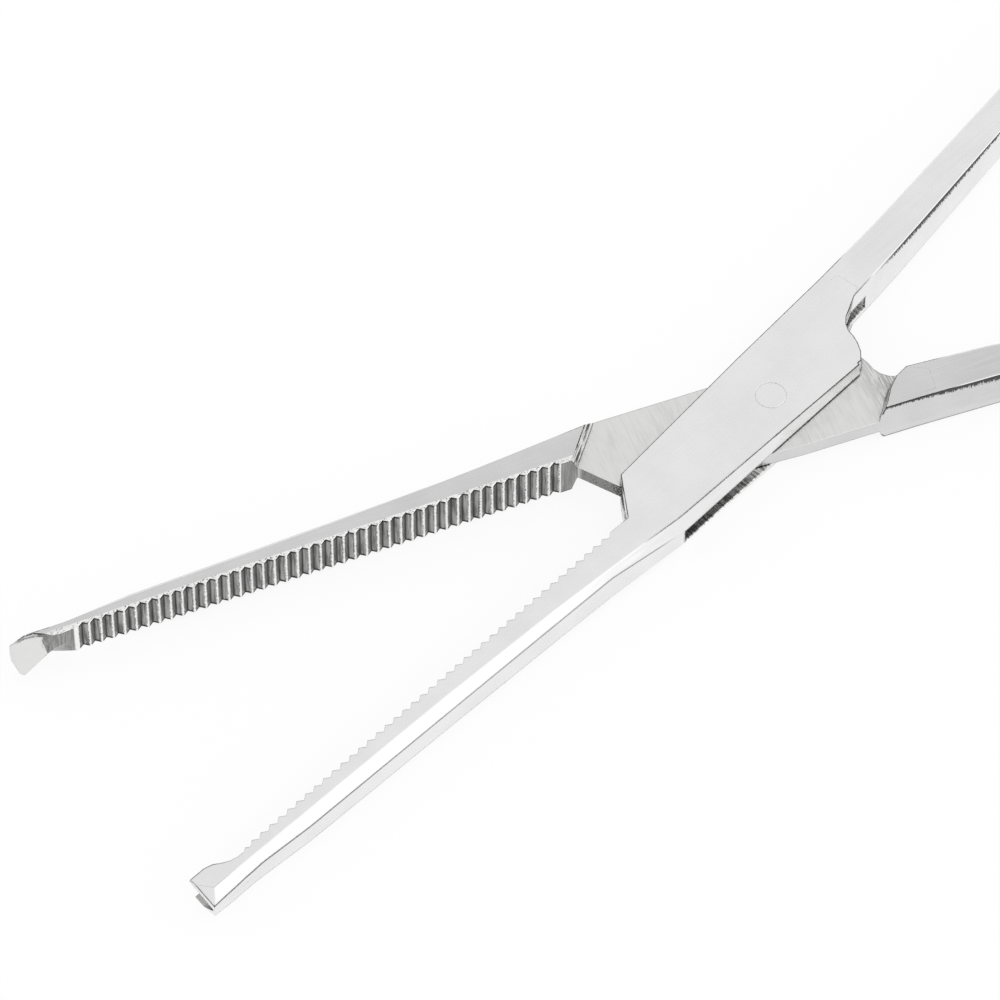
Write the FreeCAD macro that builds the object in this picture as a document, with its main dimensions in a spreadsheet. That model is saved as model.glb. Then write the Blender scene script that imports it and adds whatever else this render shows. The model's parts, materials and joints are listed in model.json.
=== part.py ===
import FreeCAD, Part
import math
import os
import Sketcher

# Ring-handled box-lock forceps with cross-serrated jaws and one tooth over two
# at the tips. Two forged halves cross at a riveted pin.
# Each half is drawn closed, in its own frame: X along the instrument with the
# tips at -X, the pin axis at the origin and Z = 0 in the mid-plane of the steel.
# The first half has its jaw on -Y and its shank on +Y, the second is its mirror
# image. The placements then open them and lift them onto the resting plane.

OUT = "parts"
os.makedirs(OUT, exist_ok=True)
document = FreeCAD.newDocument("forceps")

# Driving dimensions in millimetres and degrees
SIZES = {
    "half_height": 2.35,
    "web_height": 1.6,
    "slot_height": 1.8,
    "opening_angle": 23.75,
    "jaw_reach": 77.4,
    "tip_width": 2.2,
    "inner_tip_width": 1.6,
    "root_width": 4.0,
    "tip_height": 1.85,
    "tip_flat": 1.1,
    "root_flat": 3.4,
    "grip_gap": 0.06,
    "box_width": 3.6,
    "box_flare": 0.5,
    "lobe_reach": 10.9,
    "serration_pitch": 1.168,
    "serration_depth": 0.4,
    "serrated_from": 6.6,
    "serrated_to": 22.4,
    "tooth_height": 1.95,
    "notch_clearance": 0.1,
    "stop_clearance": 0.15,
    "pin_radius": 1.5,
    "pin_clearance": 0.05,
    "shank_width": 3.5,
    "shank_end_height": 1.9,
    "shank_flare": 0.35,
    "ring_centre": 106.6,
    "ring_spread": 16.5,
    "ring_length": 28.0,
    "ring_breadth": 23.5,
    "ring_bar": 4.0,
    "ratchet_reach": 86.0,
    "ratchet_width": 4.2,
    "ratchet_overlap": 3.2,
    "ratchet_gap": 0.3,
    "ratchet_pitch": 1.8,
    "ratchet_depth": 0.5,
}

sheet = document.addObject("Spreadsheet::Sheet", "Sizes")
for row, (alias, size) in enumerate(SIZES.items(), start=1):
    sheet.set(f"A{row}", alias)
    sheet.set(f"B{row}", str(size))
    sheet.setAlias(f"B{row}", alias)
document.recompute()


# A length made of driving dimensions: its value now and the expression for it
def tied(plus, **factors):
    value = plus + sum(SIZES[alias] * factor for alias, factor in factors.items())
    text = " ".join(f"{factor:+.6g} * Sizes.{alias}" for alias, factor in factors.items())
    return value, f"{plus:.6g} {text}"


def flip(length, side):
    if not isinstance(length, tuple):
        return length * side
    value, text = length
    return (value, text) if side > 0 else (-value, f"-({text})")


def number(length):
    return length[0] if isinstance(length, tuple) else length


def origin_plane(body, role):
    return next(item for item in body.Origin.OriginFeatures if item.Role == role)


def new_sketch(body, name, role, offset):
    sketch = body.newObject("Sketcher::SketchObject", name)
    sketch.AttachmentSupport = (origin_plane(body, role), "")
    sketch.MapMode = "FlatFace"
    base = FreeCAD.Vector(0, 0, number(offset))
    sketch.AttachmentOffset = FreeCAD.Placement(base, FreeCAD.Rotation())
    if isinstance(offset, tuple):
        sketch.setExpression("AttachmentOffset.Base.z", offset[1])
    sketch.Visibility = False
    return sketch


# A closed outline of straight edges whose corners are held to the sheet
def polygon(body, name, role, offset, corners):
    sketch = new_sketch(body, name, role, offset)
    spots = [FreeCAD.Vector(number(x), number(y), 0) for x, y in corners]
    count = len(spots)
    for index in range(count):
        edge = Part.LineSegment(spots[index], spots[(index + 1) % count])
        sketch.addGeometry(edge, False)
    for index in range(count):
        following = (index + 1) % count
        sketch.addConstraint(Sketcher.Constraint("Coincident", index, 2, following, 1))
    for index, corner in enumerate(corners):
        for kind, place in zip(("DistanceX", "DistanceY"), corner):
            rule = sketch.addConstraint(
                Sketcher.Constraint(kind, -1, 1, index, 1, number(place)))
            if isinstance(place, tuple):
                sketch.setExpression(f"Constraints[{rule}]", place[1])
    return sketch


def pad(body, name, sketch, height):
    feature = body.newObject("PartDesign::Pad", name)
    feature.Profile = sketch
    feature.SideType = "Symmetric"
    feature.Length = number(height)
    if isinstance(height, tuple):
        feature.setExpression("Length", height[1])
    return feature


def pocket(body, name, sketch, height):
    feature = body.newObject("PartDesign::Pocket", name)
    feature.Profile = sketch
    feature.SideType = "Symmetric"
    feature.Length = number(height)
    if isinstance(height, tuple):
        feature.setExpression("Length", height[1])
    return feature


def loft(body, name, sketches):
    feature = body.newObject("PartDesign::AdditiveLoft", name)
    feature.Profile = (sketches[0], [""])
    feature.Sections = [(sketch, [""]) for sketch in sketches[1:]]
    feature.Ruled = True
    return feature


# Cross-section of a jaw: flat top and bottom, bevels on the outer side
def jaw_section(body, name, side, along, grip, height, flat, width, band):
    low_height = flip(height, -1)
    low_band = flip(band, -1)
    grip = flip(grip, side)
    flat = flip(flat, -side)
    width = flip(width, -side)
    corners = [(grip, height), (flat, height), (width, band),
               (width, low_band), (flat, low_height), (grip, low_height)]
    return polygon(body, name, "YZ_Plane", along, corners)


def jaw_width(side, share):
    if side > 0:
        return tied(0.0, tip_width=1.0 - share, root_width=share)
    return tied(0.0, inner_tip_width=1.0 - share, root_width=share)


def jaw_flat(share):
    return tied(0.0, tip_flat=1.0 - share, root_flat=share)


# Height of the jaw top above the mid-plane, less the drop
def jaw_top(share, drop=0.0):
    return tied(-drop, tip_height=1.0 - share, half_height=share)


# Section of a tip, its corners given going round from the grip side
def tip_section(body, index, side, from_end, corners):
    corners = [(flip(y, side), z) for y, z in corners]
    return polygon(body, f"tip_section_{index + 1}", "YZ_Plane",
                   tied(from_end, jaw_reach=-1.0), corners)


# Upper corners of a section followed by their mirror images in the mid-plane
def both_faces(upper):
    return upper + [(y, flip(z, -1)) for y, z in reversed(upper)]


# Jaw from the back of the tip to the middle of the box
def jaw(body, side, sections):
    grip = tied(0.0, grip_gap=-1.0)
    full = tied(0.0, half_height=1.0)
    stations = [(-0.84, 0.22, 0.14, 1.2, 0.25), (-0.61, 0.42, 0.32, 1.3, 0.65),
                (-0.43, 0.60, 0.56, 1.4, 0.85), (-0.33, 0.72, 0.78, 1.5, 1.0)]
    for index, (reach, share_width, share_flat, band, share) in enumerate(stations):
        sections.append(jaw_section(
            body, f"jaw_section_{index + 1}", side, tied(0.0, jaw_reach=reach), grip,
            jaw_top(share), jaw_flat(share_flat), jaw_width(side, share_width),
            tied(band - 2.35, half_height=1.0)))
    box_stations = [(-16.4, 0.8, 0.9), (-4.0, 0.5, 0.85), (8.6, 0.2, 0.8)]
    for index, (along, flare, band) in enumerate(box_stations):
        sections.append(jaw_section(
            body, f"box_section_{index + 1}", side, along, grip, full,
            tied(0.0, box_width=1.0), tied(flare - 0.5, box_width=1.0, box_flare=1.0), band))
    return loft(body, "jaw", sections)


# Box plan between the jaw side and the shank side, with the slanted stop edge
# in front and the round lobe of the cheeks behind
STOP_FOOT = (-19.93, -0.06)
STOP_HEAD = (-16.78, 3.88)


def box(body, side):
    lobe = [(11.9, 1.15), (11.25, 0.55), (10.87, -0.16), (10.72, -0.9),
            (10.42, -1.7), (9.87, -2.65), (9.08, -3.42)]
    inner = [(8.2, -3.3), (-18.0, -3.0), (-24.0, -1.8)]
    outer = [(-24.0, -0.06), STOP_FOOT, STOP_HEAD, (-12.0, 4.0), (10.0, 5.2),
             (15.0, 5.2), (15.3, 2.8)]
    corners = []
    for x, y in outer:
        corners.append((x, y * side))
    for x, y in lobe:
        corners.append((tied(x - 10.9, lobe_reach=1.0), y * side))
    for x, y in inner:
        corners.append((x, y * side))
    outline = polygon(body, "box_outline", "XY_Plane", 0.0, corners)
    return pad(body, "box_block", outline, tied(0.0, half_height=2.0))


# Shank from the front of the box to the bar of the finger ring
def shank(body, side, offset):
    sections = []
    stations = [(-16.4, 2.2, 3.4, 0.0, 0.0), (1.0, 3.55, 3.5, 0.0, 0.0),
                (13.2, 4.15, 3.9, 0.6, 0.0), (21.8, 5.05, 3.6, 1.0, 0.1),
                (43.1, 7.85, 3.1, 0.5, 0.4), (86.0, 12.9, 3.2, 0.0, 1.0),
                (92.6, 14.2, 3.2, 0.0, 1.0)]
    for index, (along, centre, width, shift, thinning) in enumerate(stations):
        middle = centre + offset * shift
        spread = 0.5 * width / SIZES["shank_width"]
        inner = tied(middle, shank_width=-spread)
        outer = tied(middle, shank_width=spread)
        inner_mid = tied(middle, shank_width=-spread, shank_flare=-1.0)
        outer_mid = tied(middle, shank_width=spread, shank_flare=1.0)
        height = tied(0.0, half_height=1.0 - thinning, shank_end_height=thinning)
        band = 0.9
        ring = [(inner, height), (outer, height), (outer_mid, band), (outer_mid, -band),
                (outer, flip(height, -1)), (inner, flip(height, -1)),
                (inner_mid, -band), (inner_mid, band)]
        corners = [(flip(y, side), z) for y, z in ring]
        if index > 4:
            along = tied(along - 92.6, ring_centre=1.0, ring_length=-0.5)
        sections.append(polygon(body, f"shank_section_{index + 1}", "YZ_Plane", along, corners))
    return loft(body, "shank", sections)


# Oval finger ring swept from a round bar
def finger_ring(body, side):
    path = new_sketch(body, "ring_path", "XY_Plane", 0.0)
    centre = FreeCAD.Vector(SIZES["ring_centre"], side * SIZES["ring_spread"], 0)
    half_length = SIZES["ring_length"] / 2
    half_breadth = SIZES["ring_breadth"] / 2
    oval = Part.Ellipse(centre, half_length, half_breadth)
    path.addGeometry(oval, False)
    path.exposeInternalGeometry(0)
    path.addConstraint(Sketcher.Constraint("Horizontal", 1))
    rules = [("DistanceX", (-1, 1, 0, 3), "Sizes.ring_centre", centre.x),
             ("DistanceY", (-1, 1, 0, 3), f"{side} * Sizes.ring_spread", centre.y),
             ("Distance", (1,), "Sizes.ring_length", 2 * half_length),
             ("Distance", (2,), "Sizes.ring_breadth", 2 * half_breadth)]
    for kind, where, text, value in rules:
        rule = path.addConstraint(Sketcher.Constraint(kind, *where, value))
        path.setExpression(f"Constraints[{rule}]", text)
    far_end = tied(0.0, ring_centre=1.0, ring_length=0.5)
    bar = new_sketch(body, "ring_bar_section", "XZ_Plane", flip(tied(0.0, ring_spread=1.0), -side))
    round_bar = Part.Circle(FreeCAD.Vector(far_end[0], 0, 0), FreeCAD.Vector(0, 0, 1),
                            SIZES["ring_bar"] / 2)
    bar.addGeometry(Part.ArcOfCircle(round_bar, 0, math.pi), False)
    bar.addGeometry(Part.ArcOfCircle(round_bar, math.pi, 2 * math.pi), False)
    bar.addConstraint(Sketcher.Constraint("Coincident", 0, 2, 1, 1))
    bar.addConstraint(Sketcher.Constraint("Coincident", 1, 2, 0, 1))
    bar.addConstraint(Sketcher.Constraint("Coincident", 0, 3, 1, 3))
    bar.addConstraint(Sketcher.Constraint("Horizontal", 0, 1, 0, 3))
    rules = [("DistanceX", (-1, 1, 0, 3), far_end[1], far_end[0]),
             ("DistanceY", (-1, 1, 0, 3), None, 0.0),
             ("Radius", (0,), "Sizes.ring_bar / 2", SIZES["ring_bar"] / 2)]
    for kind, where, text, value in rules:
        rule = bar.addConstraint(Sketcher.Constraint(kind, *where, value))
        if text:
            bar.setExpression(f"Constraints[{rule}]", text)
    feature = body.newObject("PartDesign::AdditivePipe", "finger_ring")
    feature.Profile = (bar, [""])
    feature.Spine = (path, ["Edge1"])
    return feature


# Ratchet arm across the gap between the shanks: the first half carries its arm
# above the mid-plane and the second below it, with the catches between them
def ratchet(body, side):
    front = tied(0.0, ratchet_reach=1.0, ratchet_width=-0.5)
    back = tied(0.0, ratchet_reach=1.0, ratchet_width=0.5)
    end = flip(tied(0.0, ratchet_overlap=-1.0), side)
    root = side * 12.9
    middle = tied(0.0, ratchet_gap=side * 0.25, shank_end_height=side * 0.5)
    shoulder = side * 10.0
    corner = flip(tied(0.7, ratchet_overlap=-1.0), side)
    corners = [
        (tied(-1.6, ratchet_reach=1.0, ratchet_width=-0.5), root), (front, shoulder),
        (front, corner), (tied(0.7, ratchet_reach=1.0, ratchet_width=-0.5), end),
        (tied(-0.7, ratchet_reach=1.0, ratchet_width=0.5), end), (back, corner),
        (back, shoulder), (tied(1.6, ratchet_reach=1.0, ratchet_width=0.5), root)]
    outline = polygon(body, "ratchet_outline", "XY_Plane", middle, corners)
    arm = pad(body, "ratchet_arm", outline, tied(0.0, shank_end_height=1.0, ratchet_gap=-0.5))
    inner_face = tied(0.0, ratchet_gap=side * 0.5)
    bottom = tied(0.0, ratchet_gap=side * 0.5, ratchet_depth=side * 1.0)
    first = tied(0.4, ratchet_overlap=-1.0)
    second = tied(0.4, ratchet_overlap=-1.0, ratchet_pitch=0.9)
    beyond = tied(-0.01 * side, ratchet_gap=side * 0.5)
    profile = [(flip(first, side), beyond), (flip(second, side), beyond),
               (flip(second, side), inner_face), (flip(first, side), bottom)]
    catch = polygon(body, "catch_profile", "YZ_Plane", tied(0.0, ratchet_reach=1.0), profile)
    cut = pocket(body, "catch", catch, tied(1.0, ratchet_width=1.0))
    rows = body.newObject("PartDesign::LinearPattern", "catches")
    rows.Originals = [cut]
    rows.Direction = (catch, ["H_Axis"])
    rows.Reversed = side < 0
    rows.Occurrences = 3
    rows.Length = 2 * SIZES["ratchet_pitch"]
    rows.setExpression("Length", "2 * Sizes.ratchet_pitch")
    body.Tip = rows
    return rows


# Slanted facet ground on the end of the tip, through a point and facing outward
def end_facet(body, name, facing, point):
    sketch = new_sketch(body, f"{name}_outline", "XY_Plane", 0.0)
    turn = FreeCAD.Rotation(FreeCAD.Vector(0, 0, 1), FreeCAD.Vector(*facing))
    base = FreeCAD.Vector(*[number(place) for place in point])
    sketch.AttachmentOffset = FreeCAD.Placement(base, turn)
    for axis, place in zip("xyz", point):
        if isinstance(place, tuple):
            sketch.setExpression(f"AttachmentOffset.Base.{axis}", place[1])
    sketch.addGeometry(Part.Circle(FreeCAD.Vector(0, 0, 0), FreeCAD.Vector(0, 0, 1), 4.0), False)
    sketch.addConstraint(Sketcher.Constraint("Coincident", 0, 3, -1, 1))
    sketch.addConstraint(Sketcher.Constraint("Radius", 0, 4.0))
    cut = body.newObject("PartDesign::Pocket", name)
    cut.Profile = sketch
    cut.Length = 3.0
    cut.Reversed = True
    return cut


# Cross grooves in the grip face, the second half shifted by half a pitch
def serrations(body, side, shift):
    half = 0.48
    start = tied(0.0, jaw_reach=-1.0, serrated_from=1.0, serration_pitch=shift)
    before = tied(0.0, jaw_reach=-1.0, serrated_from=1.0, serration_pitch=shift - half)
    after = tied(0.0, jaw_reach=-1.0, serrated_from=1.0, serration_pitch=shift + half)
    surface = flip(tied(0.0, grip_gap=-1.0), side)
    bottom = flip(tied(0.0, grip_gap=-1.0, serration_depth=-1.0), side)
    beyond = side * 0.3
    corners = [(before, beyond), (before, surface), (start, bottom),
               (after, surface), (after, beyond)]
    profile = polygon(body, "groove_profile", "XY_Plane", 0.0, corners)
    cut = pocket(body, "groove", profile, tied(1.0, half_height=2.0))
    grooved = "(Sizes.jaw_reach - Sizes.serrated_from - Sizes.serrated_to)"
    length = SIZES["jaw_reach"] - SIZES["serrated_from"] - SIZES["serrated_to"]
    steps = math.floor(length / SIZES["serration_pitch"])
    rows = body.newObject("PartDesign::LinearPattern", "serrations")
    rows.Originals = [cut]
    rows.Direction = (profile, ["H_Axis"])
    rows.Occurrences = steps + 1
    rows.setExpression("Occurrences", f"floor({grooved} / Sizes.serration_pitch) + 1")
    rows.Length = steps * SIZES["serration_pitch"]
    rows.setExpression(
        "Length", f"floor({grooved} / Sizes.serration_pitch) * Sizes.serration_pitch")
    body.Tip = rows
    return rows


# Hole for the pin
def pin_hole(body, radius):
    sketch = new_sketch(body, "pin_hole_outline", "XY_Plane", 0.0)
    sketch.addGeometry(Part.Circle(FreeCAD.Vector(0, 0, 0),
                                   FreeCAD.Vector(0, 0, 1), radius[0]), False)
    sketch.addConstraint(Sketcher.Constraint("Coincident", 0, 3, -1, 1))
    rule = sketch.addConstraint(Sketcher.Constraint("Radius", 0, radius[0]))
    sketch.setExpression(f"Constraints[{rule}]", radius[1])
    return pocket(body, "pin_hole", sketch, tied(1.0, half_height=2.0))


# Two points of the front wall where the halves meet when closed, held clear of
# the stop edge by the stop clearance
def front_wall(side, extra):
    length = math.hypot(STOP_HEAD[0] - STOP_FOOT[0], STOP_HEAD[1] - STOP_FOOT[1])
    along_x = (STOP_HEAD[0] - STOP_FOOT[0]) / length
    along_y = -(STOP_HEAD[1] - STOP_FOOT[1]) / length
    points = []
    for step in (-1.0, 6.6):
        x = STOP_FOOT[0] + along_x * step + along_y * extra
        y = -STOP_FOOT[1] + along_y * step - along_x * extra
        points.append((tied(x, stop_clearance=along_y),
                       flip(tied(y, stop_clearance=-along_x), side)))
    return points


def place(body, side):
    spin = FreeCAD.Rotation(FreeCAD.Vector(0, 0, 1), side * SIZES["opening_angle"] / 2)
    body.Placement = FreeCAD.Placement(FreeCAD.Vector(0, 0, SIZES["half_height"]), spin)
    body.setExpression("Placement.Base.z", "Sizes.half_height")
    body.setExpression("Placement.Rotation.Angle", f"{side} * Sizes.opening_angle / 2")


# Half with the box: the slot lets the other half through, the tip has two teeth
def build_box_half():
    side = 1
    body = document.addObject("PartDesign::Body", "box_half")
    body.Label = "box_half"
    flat = tied(-0.15, tip_flat=-1.0)
    grip = tied(0.0, grip_gap=-1.0)
    hump = [(0.1, 0.95, -0.05, 0.75), (1.9, 0.93, -0.05, 0.95), (2.8, 0.68, -0.05, 1.0),
            (3.5, 0.18, -0.02, 1.0), (4.25, -0.2, 0.0, 1.05), (5.0, -0.38, 0.0, 1.05),
            (5.8, -0.42, 0.0, 1.1), (6.4, grip, 0.0, 1.15)]
    sections = []
    for index, (from_end, crest, widening, band) in enumerate(hump):
        upper = [(crest, jaw_top(0.0)), (flat, jaw_top(0.0)),
                 (tied(widening, tip_width=-1.0), band)]
        sections.append(tip_section(body, index, side, from_end, both_faces(upper)))
    jaw(body, side, sections)
    box(body, side)
    shank(body, side, 0.0)
    finger_ring(body, side)
    ratchet(body, side)
    slant = 0.49
    bottom = tied(0.0, tooth_height=-1.0, notch_clearance=-1.0)
    half_bottom = 0.12
    mouth = 1.6
    spread = tied(half_bottom + mouth * slant, tooth_height=slant, notch_clearance=slant)
    notch = [(bottom, -half_bottom), (bottom, half_bottom),
             (mouth, spread), (mouth, flip(spread, -1))]
    profile = polygon(body, "notch_profile", "YZ_Plane", tied(0.0, jaw_reach=-1.0), notch)
    pocket(body, "tooth_notch", profile, 10.0)
    end_facet(body, "upper_end_facet", (-0.682, -0.449, 1.0),
              (tied(0.2, jaw_reach=-1.0), 0.15, tied(0.0, tip_height=1.0)))
    end_facet(body, "lower_end_facet", (-1.0, 0.0, -0.65),
              (tied(0.1, jaw_reach=-1.0), -0.6, tied(1.15, tip_height=-1.0)))
    serrations(body, side, 0.0)
    wall = front_wall(side, 0.0)
    beyond = 9.0
    back = [(15.9, -beyond), (15.9, 2.4), (15.3, 3.2), (14.0, 4.2), (12.6, 5.6), (11.8, beyond)]
    corners = [wall[0], wall[1], (wall[1][0], -beyond)]
    corners += back
    corners += [(wall[0][0], beyond)]
    slot = polygon(body, "slot_outline", "XY_Plane", 0.0, corners)
    pocket(body, "slot", slot, tied(0.0, slot_height=1.0))
    pin_hole(body, tied(0.0, pin_radius=1.0))
    place(body, side)
    return body


# Half with the web: milled down on both faces where the cheeks swing
def build_inner_half():
    side = -1
    body = document.addObject("PartDesign::Body", "inner_half")
    body.Label = "inner_half"
    grip = tied(0.0, grip_gap=-1.0)
    tooth = tied(0.0, tooth_height=1.0)
    blunt = tied(-0.33, tooth_height=1.0)
    tip = [(0.1, blunt, -0.78, -0.84, -0.9, -0.84, -0.78, 0.4, 0.5, 0.53),
           (0.45, tooth, -0.84, -0.9, -0.96, -0.9, -0.84, 0.3, 0.55, 0.47),
           (1.5, 1.42, -1.0, -1.05, -1.13, -1.08, -1.0, 0.2, 0.8, 0.1),
           (2.5, 0.9, -0.88, -0.95, -1.13, -1.04, -0.88, 0.1, 0.95, 0.0),
           (3.3, 0.48, -0.5, -0.55, -1.1, -0.8, -0.64, 0.05, 1.0, 0.0),
           (4.2, 0.12, 0.0, -0.04, -1.1, -0.87, -0.62, 0.0, 1.05, 0.0),
           (5.0, 0.0, 0.02, 0.0, -1.1, -0.56, -0.4, 0.0, 1.1, 0.0),
           (5.7, -0.04, -0.04, -0.05, -1.1, -0.3, -0.22, 0.0, 1.1, 0.0),
           (6.4, grip, grip, grip, -1.15, grip, grip, 0.0, 1.15, 0.0)]
    sections = []
    for index, row in enumerate(tip):
        from_end, ridge, flank, edge, flat, low_edge, low_flank, less, band, drop = row
        top = jaw_top(0.0, drop)
        below = jaw_top(0.0, 0.5 * drop + 0.4)
        outer = tied(less, inner_tip_width=-1.0)
        corners = [(ridge, 0.04), (flank, below), (edge, top), (flat, top), (outer, band),
                   (outer, -band), (flat, flip(top, -1)), (low_edge, flip(top, -1)),
                   (low_flank, flip(below, -1)), (ridge, -0.04)]
        sections.append(tip_section(body, index, side, from_end, corners))
    loft(body, "tooth_and_tip", sections)
    back = [(grip, jaw_top(0.0)), (-1.15, jaw_top(0.0)),
            (tied(0.0, inner_tip_width=-1.0), 1.15)]
    sections = [tip_section(body, len(tip), side, 6.4, both_faces(back))]
    jaw(body, side, sections)
    box(body, side)
    shank(body, side, -0.8)
    finger_ring(body, side)
    ratchet(body, side)
    serrations(body, side, 0.5)
    beyond = 9.0
    rear = [(14.8, 1.35), (13.62, 1.62), (12.14, 2.38), (11.02, 3.5), (10.12, 4.83),
            (9.35, 5.8)]
    wall = front_wall(side, 0.45)
    corners = [wall[0], wall[1], (wall[1][0], -beyond * side), (15.6, -beyond * side)]
    corners += [(x, y * side) for x, y in rear]
    corners += [(8.6, beyond * side), (wall[0][0], beyond * side)]
    depth = tied(0.0, half_height=1.0, web_height=-0.5)
    for face, name in ((1, "upper"), (-1, "lower")):
        outline = polygon(body, f"{name}_recess_outline", "XY_Plane",
                          tied(0.0, half_height=1.0 * face), corners)
        recess = body.newObject("PartDesign::Pocket", f"{name}_recess")
        recess.Profile = outline
        recess.Length = depth[0]
        recess.setExpression("Length", depth[1])
        recess.TaperAngle = -16.0
        recess.Reversed = face < 0
    pin_hole(body, tied(0.0, pin_radius=1.0, pin_clearance=1.0))
    place(body, side)
    return body


# Riveted pin, ground flush with both cheeks
def build_joint_pin():
    pin = document.addObject("Part::Cylinder", "joint_pin")
    pin.Label = "joint_pin"
    pin.setExpression("Radius", "Sizes.pin_radius")
    pin.setExpression("Height", "2 * Sizes.half_height")
    return pin


solids = [build_box_half(), build_inner_half(), build_joint_pin()]
document.recompute()

for item in document.Objects:
    if "Invalid" in item.State or "Error" in item.State:
        raise RuntimeError(f"{item.Label} did not build: {item.State}")
for solid in solids:
    if solid.Shape.isNull() or not solid.Shape.isValid() or len(solid.Shape.Solids) != 1:
        raise RuntimeError(f"{solid.Label} is not one sound solid")
    solid.Shape.exportStep(os.path.join(OUT, f"{solid.Label}.step"))
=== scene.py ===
import json
import math

import bpy
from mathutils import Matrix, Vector

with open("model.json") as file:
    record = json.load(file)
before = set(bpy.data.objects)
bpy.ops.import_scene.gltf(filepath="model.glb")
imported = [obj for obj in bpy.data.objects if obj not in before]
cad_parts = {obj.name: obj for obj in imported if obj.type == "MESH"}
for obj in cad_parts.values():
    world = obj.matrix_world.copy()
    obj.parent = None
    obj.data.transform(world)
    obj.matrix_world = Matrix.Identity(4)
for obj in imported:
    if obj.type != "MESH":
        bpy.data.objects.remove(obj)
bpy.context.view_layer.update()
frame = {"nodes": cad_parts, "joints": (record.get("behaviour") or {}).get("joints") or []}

MM = 0.001
# The halves rest open by the angle that closes them, which is the upper limit of the joint
box_lock = frame["joints"][0]
HALF_HEIGHT = box_lock["pos_m"][2]
HALF_OPENING = math.radians(box_lock["range_deg"][1] / 2)

# Places along a half, in millimetres from the joint towards the rings
TIP = -73.0
GROOVES = (-71.2, -21.7)
PADS = ((-74.6, -71.2, 0.1), (-21.7, -18.6, 0.05))
LIP = (-75.0, -19.5)
JAW_LINE_BEGINS = (-17.0, -20.5)
JAW_LINE_FADES = (-76.0, -50.0)
JAW_SOFTENS = (-20.0, -26.0)
BOX = (-20.5, 17.0)
BOX_SIDES = (-20.0, 15.0)
BOX_BEGINS = (-21.5, -20.0)
WEB = (-22.0, 16.0)
WEB_FLANK = (-19.8, -10.0)
FLANK_SHADE_DEEPENS = (-18.0, -15.5)
# Where the painted shade on the web flank deepens
SLOT = (-19.0, 16.0)
SHOULDERS = ((-23.0, -13.0), (8.0, 17.0))
REAR_SHOULDER_NEARS = (7.5, 12.5)
SHANK_BEGINS = (14.0, 20.0)
SHANK_LINE_WIDENS = (12.0, 26.0)
SHANK_LINE_NARROWS = (30.0, 45.0)
SHANK_LINE_THINS_OUT = (62.0, 48.0)
SHANK_LINE_ENDS = (60.0, 50.0)
# Where the top falls towards the tip and towards the ring, and by how much
TAPERS = ((-25.5, -33.3, 0.075), (-33.3, -47.2, 0.10), (-47.2, -65.0, 0.20),
          (-65.0, -71.0, 0.125), (13.2, 21.8, 0.045), (21.8, 43.1, 0.135),
          (43.1, 86.0, 0.27))

# Across a half and up from its mid-plane, in millimetres
GRIP_FACE = -0.06
WALL_FOOT = (0.85, 0.95)
WEB_EDGE = (1.0, 0.92)
BOX_SIDE_EDGE = (1.5, 1.7)
TOP_EDGE = (1.78, 1.82)
SLOT_EDGE = (1.86, 1.82)
AROUND_PIN = (1.95, 2.1)
LINE_ROUNDING = 0.25

FLOOR_SIZE = 6.0
FLOOR_GAP = 0.02 * MM

# Camera fitted to the photograph
CAMERA_AZIMUTH = math.radians(34.035)
CAMERA_ELEVATION = math.radians(54.55)
CAMERA_DISTANCE = 761.9 * MM
SENSOR_WIDTH = 36.0
FOCAL_LENGTH = 288.0
CAMERA_TARGET = Vector((-27.47 * MM, 5.68 * MM, HALF_HEIGHT))
VIEW_LEVEL = Vector((math.sin(CAMERA_AZIMUTH), math.cos(CAMERA_AZIMUTH), 0.0))
VIEW_RIGHT = Vector((math.cos(CAMERA_AZIMUTH), -math.sin(CAMERA_AZIMUTH), 0.0))


def grey(level):
    return (level, level, 0.992 * level)


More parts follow.
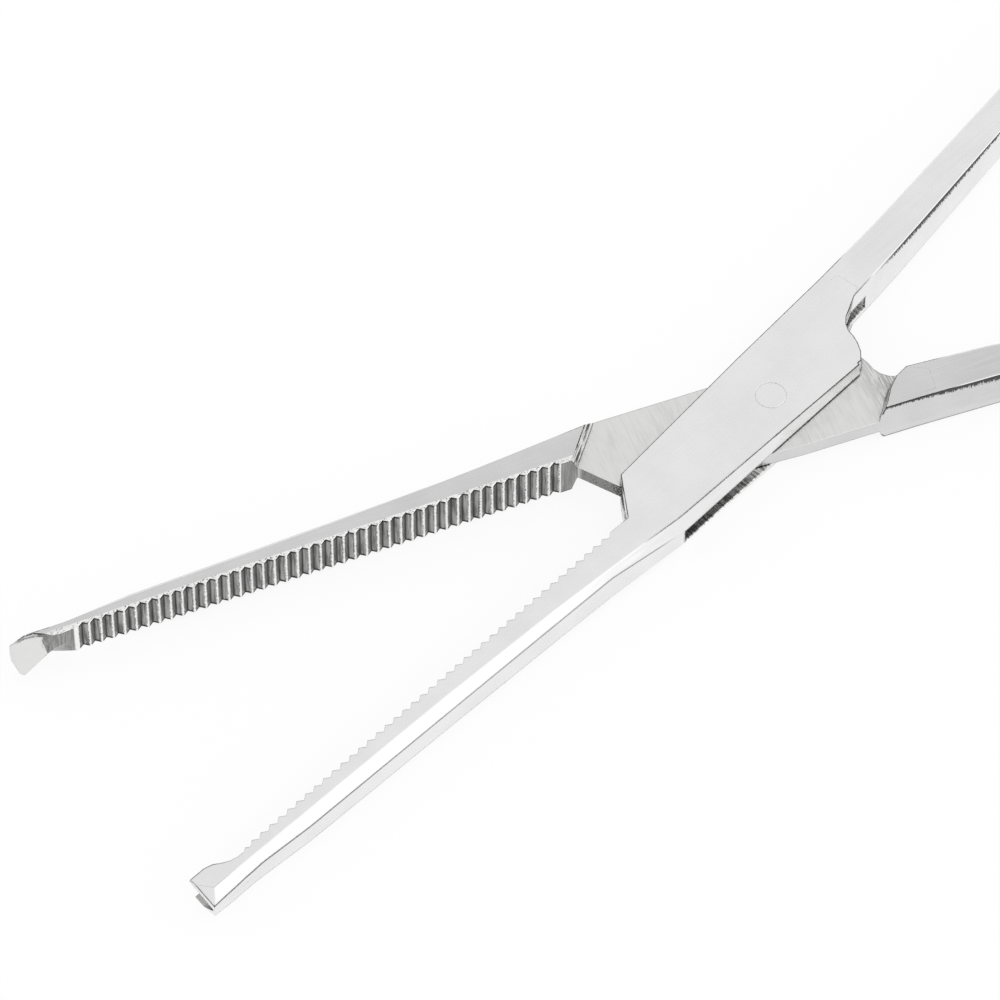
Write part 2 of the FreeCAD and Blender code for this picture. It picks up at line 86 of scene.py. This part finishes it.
# Node tree of a material or a world, fed with numbers, colours and other nodes' outputs
class Tree:
    def __init__(self, owner):
        owner.use_nodes = True
        self.owner = owner
        self.nodes = owner.node_tree.nodes
        self.links = owner.node_tree.links

    def node(self, kind, **settings):
        made = self.nodes.new(kind)
        for key, value in settings.items():
            setattr(made, key, value)
        return made

    def feed(self, socket, value):
        if isinstance(value, (int, float, Vector)):
            socket.default_value = value
        elif isinstance(value, tuple):
            socket.default_value = (*value, 1.0)
        else:
            self.links.new(value, socket)

    def compute(self, operation, *values):
        made = self.node("ShaderNodeMath", operation=operation)
        for socket, value in zip(made.inputs, values):
            self.feed(socket, value)
        return made.outputs[0]

    def chain(self, operation, first, *others):
        for other in others:
            first = self.compute(operation, first, other)
        return first

    def times(self, *values):
        return self.chain("MULTIPLY", *values)

    def plus(self, *values):
        return self.chain("ADD", *values)

    def most(self, *values):
        return self.chain("MAXIMUM", *values)

    def minus(self, first, second):
        return self.compute("SUBTRACT", first, second)

    def size(self, value):
        return self.compute("ABSOLUTE", value)

    def invert(self, value):
        return self.minus(1.0, value)

    def slope(self, value, low, high, start=0.0, end=1.0, kind="LINEAR"):
        made = self.node("ShaderNodeMapRange", interpolation_type=kind)
        self.feed(made.inputs["Value"], value)
        made.inputs["From Min"].default_value = low
        made.inputs["From Max"].default_value = high
        made.inputs["To Min"].default_value = start
        made.inputs["To Max"].default_value = end
        return made.outputs["Result"]

    def ramp(self, value, *ends):
        return self.slope(value, *ends, kind="SMOOTHSTEP")

    def window(self, value, low, high, soft):
        rise = self.ramp(value, low - soft, low + soft)
        fall = self.ramp(value, high + soft, high - soft)
        return self.times(rise, fall)

    def mix(self, kind, *values):
        made = self.node("ShaderNodeMix", data_type=kind)
        sockets = [socket for socket in made.inputs if socket.enabled]
        for socket, value in zip(sockets, values):
            self.feed(socket, value)
        return next(socket for socket in made.outputs if socket.enabled)

    def blend(self, factor, first, second):
        return self.mix("RGBA", factor, first, second)

    def dot(self, first, second):
        made = self.node("ShaderNodeVectorMath", operation="DOT_PRODUCT")
        self.feed(made.inputs[0], first)
        self.feed(made.inputs[1], second)
        return made.outputs["Value"]

    def noise(self, vector, scale, detail, roughness):
        made = self.node("ShaderNodeTexNoise")
        made.inputs["Scale"].default_value = scale
        made.inputs["Detail"].default_value = detail
        made.inputs["Roughness"].default_value = roughness
        self.feed(made.inputs["Vector"], vector)
        return made.outputs["Fac"]

    def stretched(self, vector, scale, turn=0.0):
        made = self.node("ShaderNodeMapping")
        made.inputs["Scale"].default_value = scale
        made.inputs["Rotation"].default_value = (0.0, 0.0, turn)
        self.feed(made.inputs["Vector"], vector)
        return made.outputs["Vector"]

    def turned(self, vector, angle):
        made = self.node("ShaderNodeVectorRotate", rotation_type="Z_AXIS")
        made.inputs["Angle"].default_value = angle
        self.feed(made.inputs["Vector"], vector)
        return made.outputs["Vector"]

    def converted(self, vector, start, end):
        made = self.node("ShaderNodeVectorTransform", vector_type="NORMAL",
                         convert_from=start, convert_to=end)
        self.feed(made.inputs["Vector"], vector)
        return made.outputs["Vector"]

    def rounded_normal(self, radius):
        made = self.node("ShaderNodeBevel", samples=8)
        made.inputs["Radius"].default_value = radius * MM
        return made.outputs["Normal"]

    def split(self, vector):
        made = self.node("ShaderNodeSeparateXYZ")
        self.feed(made.inputs["Vector"], vector)
        return made.outputs


# Ground and brushed steel of one half, with painted shade in its milled corners and grooves and
# painted light along its edges
class Steel(Tree):
    """X runs along the closed half, Y from its jaw side to its shank side and Z up, all in
    millimetres from the joint centre. Each section paints over the ones before."""

    def __init__(self, name, turn, side, look):
        super().__init__(bpy.data.materials.new(name))
        self.turn = turn
        self.side = side
        self.look = look
        self.measure()
        self.add_noises()
        self.paint_plain_faces()
        self.paint_web()
        self.paint_web_flank()
        self.paint_grooves()
        self.paint_pads()
        self.paint_lip()
        self.measure_edges()
        self.paint_edge_lines()
        self.paint_outlines()
        self.paint_shank_line()
        self.paint_shoulder_walls()
        self.paint_slot()
        self.paint_corners()
        self.paint_tip()
        self.finish()

    # Vector of the object in the closed frame of the half
    def own_vector(self, vector):
        return self.stretched(self.turned(vector, -self.turn), (1.0, float(self.side), 1.0))

    def own_place(self, vector):
        lift = self.node("ShaderNodeMapping", vector_type="POINT")
        lift.inputs["Location"].default_value = (0.0, 0.0, -HALF_HEIGHT / MM)
        lift.inputs["Scale"].default_value = (1 / MM, 1 / MM, 1 / MM)
        self.feed(lift.inputs["Vector"], vector)
        return self.own_vector(lift.outputs["Vector"])

    def paint(self, mask, colour):
        self.colour = self.blend(mask, self.colour, colour)

    def measure(self):
        coords = self.node("ShaderNodeTexCoord")
        self.place = self.own_place(coords.outputs["Object"])
        self.x, self.y, self.z = self.split(self.place)
        self.nx, self.ny, self.nz = self.split(self.own_vector(coords.outputs["Normal"]))
        self.height = self.size(self.z)
        self.tilt = self.size(self.nz)
        self.depth = self.minus(GRIP_FACE, self.y)
        top = HALF_HEIGHT / MM
        for start, end, fall in TAPERS:
            top = self.minus(top, self.slope(self.x, start, end, 0.0, fall))
        self.below = self.minus(top, self.height)
        self.level = self.ramp(self.tilt, 0.93, 0.99)
        self.steep = self.invert(self.level)
        self.top_face = self.times(self.level, self.ramp(self.height, *TOP_EDGE))

    def streaks(self, stretch, turn, scale, detail, roughness):
        return self.noise(self.stretched(self.place, stretch, turn), scale, detail, roughness)

    def add_noises(self):
        self.brushing = self.streaks((0.10, 2.6, 2.6), 0.0, 1.6, 5.0, 0.7)
        self.scratches = self.streaks((0.35, 11.0, 11.0), 0.05, 1.5, 3.0, 0.6)
        self.upward = self.streaks((5.0, 5.0, 0.35), 0.0, 1.0, 3.0, 0.6)
        self.cloud = self.noise(self.place, 0.22, 3.0, 0.55)
        self.grit = self.noise(self.place, 5.0, 3.0, 0.7)
        self.rough_grit = self.ramp(self.grit, 0.35, 0.65, -1.0, 1.0)

    # Even, with a little cloudiness and lengthwise brushing
    def paint_plain_faces(self):
        on_shank = self.ramp(self.x, *SHANK_BEGINS)
        strength = self.plus(self.look["brush"], self.times(on_shank, self.look["shank_brush"]))
        tone = self.plus(
            self.look["shade"],
            self.ramp(self.cloud, 0.3, 0.7, -0.025, 0.015),
            self.times(strength, self.ramp(self.brushing, 0.3, 0.7, -1.0, 0.6)),
            self.times(self.ramp(self.scratches, 0.60, 0.75, 0.0, -0.05), self.plus(on_shank, 0.1)))
        body = self.node("ShaderNodeCombineColor")
        for channel in ("Red", "Green", "Blue"):
            self.feed(body.inputs[channel], tone)
        self.colour = body.outputs["Color"]

    # Smooth with a few cross streaks, and painted shade in dark strokes beside its shoulders
    def paint_web(self):
        self.low = self.ramp(self.height, *WEB_EDGE)
        self.web = self.times(self.low, self.window(self.x, *WEB, 0.5), self.level)
        across = self.streaks((2.2, 0.18, 1.0), -0.1, 1.2, 4.0, 0.65)
        strokes = self.streaks((6.0, 0.5, 1.0), -0.15, 1.0, 3.0, 0.7)
        near_wall = self.most(self.ramp(self.x, *REAR_SHOULDER_NEARS),
                              self.times(self.ramp(self.cloud, 0.5, 0.62), 0.15))
        web_marks_and_shade = self.blend(self.ramp(across, 0.40, 0.75), grey(0.78), grey(0.70))
        # Dark strokes near the shoulder wall are painted shade
        web_marks_and_shade = self.blend(self.times(near_wall, self.ramp(strokes, 0.38, 0.62), 0.75),
                            web_marks_and_shade, grey(0.22))
        self.paint(self.web, web_marks_and_shade)

    # Side of the web next to the jaw, painted as shade: dark grey with near-black blotches that
    # grow towards the joint
    def paint_web_flank(self):
        flank = self.times(self.ramp(self.tilt, 0.4, 0.2), self.ramp(self.ny, 0.2, 0.5),
                           self.window(self.x, *WEB_FLANK, 0.2), self.low)
        painted_shading = self.plus(self.grit, self.slope(self.x, *FLANK_SHADE_DEEPENS, 0.0, 0.4))
        self.paint(flank, grey(0.24))
        self.paint(self.times(flank, self.ramp(painted_shading, 0.55, 0.66)), grey(0.02))

    # Painted light on the grooves: highlights on the crests, one flank lit and the other shaded by
    # which way it faces, painted shade in the valleys and along their top
    def paint_grooves(self):
        self.inward = self.times(self.ramp(self.ny, 0.25, 0.5), self.steep)
        self.toothed = self.times(self.inward, self.ramp(self.depth, 0.75, 0.6),
                                  self.window(self.x, *GROOVES, 0.05))
        ragged = self.plus(self.depth, self.times(self.rough_grit, 0.04))
        frayed = self.plus(self.below, self.times(self.rough_grit, 0.06))
        top_edge_shade = self.times(self.ramp(frayed, 0.32, 0.20), self.ramp(self.depth, 0.05, 0.10))
        groove_light_and_shade = self.blend(self.ramp(self.nx, -0.25, 0.25), grey(0.40), grey(0.30))
        groove_light_and_shade = self.blend(self.ramp(self.upward, 0.40, 0.66), groove_light_and_shade, grey(0.15))
        groove_light_and_shade = self.blend(self.ramp(self.depth, 0.30, 0.40, 0.0, 0.85), groove_light_and_shade, grey(0.06))
        groove_light_and_shade = self.blend(self.ramp(ragged, 0.09, 0.02), groove_light_and_shade, grey(0.96))
        groove_light_and_shade = self.blend(self.times(top_edge_shade, 0.92), groove_light_and_shade, grey(0.015))
        self.paint(self.toothed, groove_light_and_shade)

    # Smooth pads at both ends of the grooves, painted dark grey as shade between the jaws
    def paint_pads(self):
        pads = self.most(*(self.window(self.x, *pad) for pad in PADS))
        pads = self.times(pads, self.inward, self.look["pads"], self.ramp(self.ny, 0.6, 0.8))
        shaded_pads = self.blend(self.ramp(self.upward, 0.35, 0.65), grey(0.34), grey(0.20))
        self.paint(pads, shaded_pads)

    # Painted highlight on a ragged lip beside the grooves, broken by a painted dark line of shade
    def paint_lip(self):
        lip = self.times(self.top_face, self.window(self.depth, -0.2, 0.56, 0.03),
                         self.window(self.x, *LIP, 0.15), self.look["lip"])
        self.paint(self.times(lip, self.ramp(self.grit, 0.42, 0.50)), grey(0.98))
        self.paint(self.times(lip, self.ramp(self.grit, 0.42, 0.36), 0.9), grey(0.05))

    # How far the rounded normal bends away from the face, and whether it bends upwards
    def measure_edges(self):
        self.bent = self.rounded_normal(LINE_ROUNDING)
        shape = self.node("ShaderNodeNewGeometry")
        self.edge = self.minus(1.0, self.dot(self.bent, shape.outputs["True Normal"]))
        self.uneven = self.plus(self.edge, self.times(self.rough_grit, 0.01))
        bent_own = self.own_vector(self.converted(self.bent, "WORLD", "OBJECT"))
        self.rise = self.minus(self.size(self.split(bent_own)[2]), self.tilt)

    # Painted shade: dark lines along the sides of the box and along the bevel of the jaw
    def paint_edge_lines(self):
        sides = self.times(self.steep, self.ramp(self.rise, 0.02, 0.08),
                           self.ramp(self.uneven, 0.004, 0.02),
                           self.window(self.x, *BOX_SIDES, 2.5),
                           self.ramp(self.height, *BOX_SIDE_EDGE))
        outer_bevel = self.times(self.ramp(self.ny, -0.2, -0.35),
                                 self.ramp(self.x, *JAW_LINE_BEGINS))
        on_side = self.times(self.ramp(self.tilt, 0.2, 0.1), self.ramp(self.rise, 0.01, 0.03))
        on_bevel = self.times(self.window(self.tilt, 0.3, 0.9, 0.05),
                              self.ramp(self.rise, -0.005, -0.02))
        jaw_line = self.times(outer_bevel, self.most(on_side, on_bevel),
                              self.ramp(self.z, 0.0, 0.3), self.ramp(self.edge, 0.002, 0.008),
                              self.slope(self.x, *JAW_LINE_FADES, 1.0, 0.72))
        self.paint(self.times(self.most(sides, jaw_line), 0.92), grey(0.03))

    # Painted highlight along the top edges behind the jaw, and a painted shade line round the box
    # and the tip
    def paint_outlines(self):
        from_joint = self.compute("SQRT", self.plus(self.times(self.x, self.x),
                                                    self.times(self.y, self.y)))
        beside_pin = self.ramp(from_joint, *AROUND_PIN)
        highlight_line = self.times(self.top_face, self.ramp(self.x, *BOX_BEGINS),
                               self.ramp(self.edge, 0.003, 0.012), beside_pin)
        self.paint(highlight_line, grey(1.0))
        box_outline = self.times(self.top_face, self.window(self.x, *BOX, 0.8), beside_pin)
        tip_outline = self.times(self.top_face, self.ramp(self.x, TIP, TIP - 1.5),
                                 self.ramp(self.grit, 0.35, 0.5))
        outline = self.times(self.most(box_outline, self.times(tip_outline, 0.8)),
                             self.ramp(self.uneven, 0.02, 0.045))
        self.paint(self.times(outline, 0.95), grey(0.02))

    # Painted shade: a dark ragged line along the top of the shank sides
    def paint_shank_line(self):
        width = self.times(self.slope(self.x, *SHANK_LINE_WIDENS, 0.30, 0.85),
                           self.slope(self.x, *SHANK_LINE_NARROWS, 1.0, 0.3),
                           self.look["line_width"],
                           self.ramp(self.x, *SHANK_LINE_THINS_OUT))
        hairy = self.streaks((7.0, 7.0, 1.0), 0.0, 1.2, 3.0, 0.7)
        reach = self.times(width, self.ramp(hairy, 0.3, 0.7, 0.45, 1.3))
        start = self.look["line_from"]
        line = self.times(self.steep, self.ramp(self.z, 0.0, 0.3),
                          self.ramp(self.x, start, start + 5.0),
                          self.ramp(self.minus(reach, self.below), -0.05, 0.08),
                          self.ramp(self.x, *SHANK_LINE_ENDS))
        self.paint(self.times(line, 0.93), grey(0.04))

    # Tool marks running along the walls of the shoulders, painted as streaks of dark shade and
    # bright reflection
    def paint_shoulder_walls(self):
        wall = self.times(self.window(self.size(self.nx), 0.35, 1.2, 0.05),
                          self.ramp(self.tilt, 0.9, 0.8), self.ramp(self.height, *WALL_FOOT),
                          self.most(*(self.window(self.x, *place, 0.3) for place in SHOULDERS)),
                          self.invert(self.toothed))
        wavy = self.streaks((0.5, 0.2, 3.4), 0.0, 1.0, 3.0, 0.7)
        painted_shading = self.blend(self.ramp(wavy, 0.46, 0.54), grey(0.01), grey(1.0))
        self.paint(self.times(wall, 0.92), painted_shading)

    # Faces of the cheeks inside the slot, hatched by the tool
    def paint_slot(self):
        self.in_slot = self.times(self.ramp(self.height, *SLOT_EDGE),
                                  self.window(self.x, *SLOT, 0.3),
                                  self.look["slotted"], self.level)
        hatch = self.streaks((3.2, 0.35, 3.2), 0.5, 1.2, 3.0, 0.7)
        hatched = self.blend(self.ramp(hatch, 0.42, 0.58), grey(0.30), grey(1.0))
        self.paint(self.times(self.in_slot, 0.95), hatched)

    # Painted shade in the corners that other surfaces cover
    def paint_corners(self):
        cavity = self.node("ShaderNodeAmbientOcclusion", samples=8)
        cavity.inputs["Distance"].default_value = 0.5 * MM
        uncovered = self.plus(cavity.outputs["AO"], self.times(self.rough_grit, 0.07))
        corner_shade = self.times(self.ramp(uncovered, 0.76, 0.56), self.invert(self.toothed),
                          self.invert(self.in_slot))
        self.paint(self.times(corner_shade, 0.9), grey(0.04))

    # End of the jaw: one plain facet with a painted shade line above it, or a notch in painted
    # shadow
    def paint_tip(self):
        self.facet = self.times(self.ramp(self.x, TIP - 0.3, TIP - 1.1),
                                self.window(self.ny, 0.2, 0.75, 0.05), self.look["facet"])
        self.paint(self.facet, grey(0.71))
        upper_edge = self.times(self.ramp(self.x, TIP, TIP - 0.6),
                                self.ramp(self.x, TIP - 3.8, TIP - 3.3),
                                self.ramp(self.y, -0.3, -0.6), self.ramp(self.edge, 0.012, 0.03),
                                self.look["facet"], self.ramp(self.z, 0.3, 0.5),
                                self.ramp(self.grit, 0.38, 0.46))
        self.paint(self.times(upper_edge, 0.92), grey(0.02))
        notch_face = self.times(self.window(self.nz, 0.5, 0.98, 0.02),
                                self.ramp(self.z, 0.3, 0.1), self.ramp(self.x, TIP, TIP - 1.0),
                                self.look["notched"])
        shadow = self.blend(self.slope(self.y, -1.9, -0.6), grey(0.01), grey(0.45))
        self.paint(notch_face, shadow)

    # One common normal for the facet at the tip, leaning towards the other jaw
    def facet_normal(self):
        flat = self.node("ShaderNodeCombineXYZ")
        flat.inputs["X"].default_value = 0.05
        flat.inputs["Y"].default_value = 0.43 * self.side
        self.feed(flat.inputs["Z"], self.times(self.compute("SIGN", self.nz), 0.90))
        return self.converted(self.turned(flat.outputs["Vector"], self.turn), "OBJECT", "WORLD")

    # Edges softened for the picture, but sharp in the grooves
    def softened(self):
        plain = self.node("ShaderNodeNewGeometry").outputs["Normal"]
        outer_jaw = self.times(self.ramp(self.x, *JAW_SOFTENS), self.ramp(self.ny, 0.1, -0.1))
        soft = self.mix("VECTOR", outer_jaw, self.bent, self.rounded_normal(self.look["round"]))
        soft = self.mix("VECTOR", self.toothed, soft, plain)
        return self.mix("VECTOR", self.facet, soft, self.facet_normal())

    def finish(self):
        bump = self.node("ShaderNodeBump")
        bump.inputs["Strength"].default_value = 0.1
        bump.inputs["Distance"].default_value = 0.02 * MM
        self.feed(bump.inputs["Height"], self.scratches)
        self.feed(bump.inputs["Normal"], self.softened())
        rough = self.plus(self.ramp(self.brushing, 0.2, 0.8, 0.20, 0.32),
                          self.times(self.toothed, 0.15), self.times(self.web, 0.10))
        shader = self.nodes["Principled BSDF"]
        shader.inputs["Metallic"].default_value = 1.0
        self.feed(shader.inputs["Base Color"], self.colour)
        self.feed(shader.inputs["Roughness"], rough)
        self.feed(shader.inputs["Normal"], bump.outputs["Normal"])


# How the halves differ: tones, radii and line widths, and how strongly a section shows
BOX_LOOK = {"shade": 0.85, "brush": 0.006, "shank_brush": 0.012, "lip": 0.0, "pads": 0.0,
            "slotted": 1.0, "facet": 0.0, "notched": 1.0, "line_from": 17.0,
            "line_width": 0.7, "round": 0.45}
INNER_LOOK = {"shade": 0.68, "brush": 0.010, "shank_brush": 0.03, "lip": 0.9, "pads": 0.95,
              "slotted": 0.0, "facet": 1.0, "notched": 0.0, "line_from": 6.0,
              "line_width": 1.0, "round": 0.25}


def dress(node, steel):
    mesh = frame["nodes"][node].data
    mesh.materials.clear()
    mesh.materials.append(steel.owner)
    for polygon in mesh.polygons:
        polygon.use_smooth = False


# White for the camera, with part of the real shading kept for the shadow
def build_floor():
    bpy.ops.mesh.primitive_plane_add(size=FLOOR_SIZE, location=(0, 0, -FLOOR_GAP))
    floor = bpy.context.object
    floor.name = "floor"
    tree = Tree(bpy.data.materials.new("floor_white"))
    shader = tree.nodes["Principled BSDF"]
    shader.inputs["Base Color"].default_value = (0.92, 0.92, 0.92, 1.0)
    shader.inputs["Roughness"].default_value = 0.9
    shader.inputs["Specular IOR Level"].default_value = 0.0
    glow = tree.node("ShaderNodeEmission")
    glow.inputs["Strength"].default_value = 1.02
    path = tree.node("ShaderNodeLightPath")
    seen = tree.most(path.outputs["Is Camera Ray"], path.outputs["Is Glossy Ray"])
    mixed = tree.node("ShaderNodeMixShader")
    tree.feed(mixed.inputs["Fac"], tree.times(seen, 0.86))
    tree.feed(mixed.inputs[1], shader.outputs["BSDF"])
    tree.feed(mixed.inputs[2], glow.outputs["Emission"])
    tree.feed(tree.nodes["Material Output"].inputs["Surface"], mixed.outputs["Shader"])
    floor.data.materials.append(tree.owner)


# White room, brighter towards the right of the picture where a soft box stands
def build_world():
    tree = Tree(bpy.data.worlds.new("studio"))
    bpy.context.scene.world = tree.owner
    soft_box = (0.80 * VIEW_RIGHT - 0.25 * VIEW_LEVEL + Vector((0, 0, 0.55))).normalized()
    direction = tree.node("ShaderNodeTexCoord").outputs["Generated"]
    background = tree.nodes["Background"]
    background.inputs["Color"].default_value = (1.0, 1.0, 1.0, 1.0)
    tree.feed(background.inputs["Strength"],
              tree.ramp(tree.dot(direction, soft_box), 0.72, 0.93, 0.90, 1.25))


def build_camera():
    look = VIEW_LEVEL * math.cos(CAMERA_ELEVATION) - Vector((0, 0, math.sin(CAMERA_ELEVATION)))
    optics = bpy.data.cameras.new("camera")
    optics.sensor_width = SENSOR_WIDTH
    optics.lens = FOCAL_LENGTH
    optics.clip_start = 0.01
    camera = bpy.data.objects.new("camera", optics)
    bpy.context.collection.objects.link(camera)
    camera.location = CAMERA_TARGET - look * CAMERA_DISTANCE
    camera.rotation_euler = look.to_track_quat("-Z", "Y").to_euler()
    bpy.context.scene.camera = camera


dress("box_half", Steel("steel_box_half", HALF_OPENING, 1, BOX_LOOK))
dress("inner_half", Steel("steel_inner_half", -HALF_OPENING, -1, INNER_LOOK))
dress("joint_pin", Steel("steel_pin", HALF_OPENING, 1, BOX_LOOK))
build_floor()
build_world()
build_camera()
bpy.context.scene.view_settings.view_transform = "Standard"
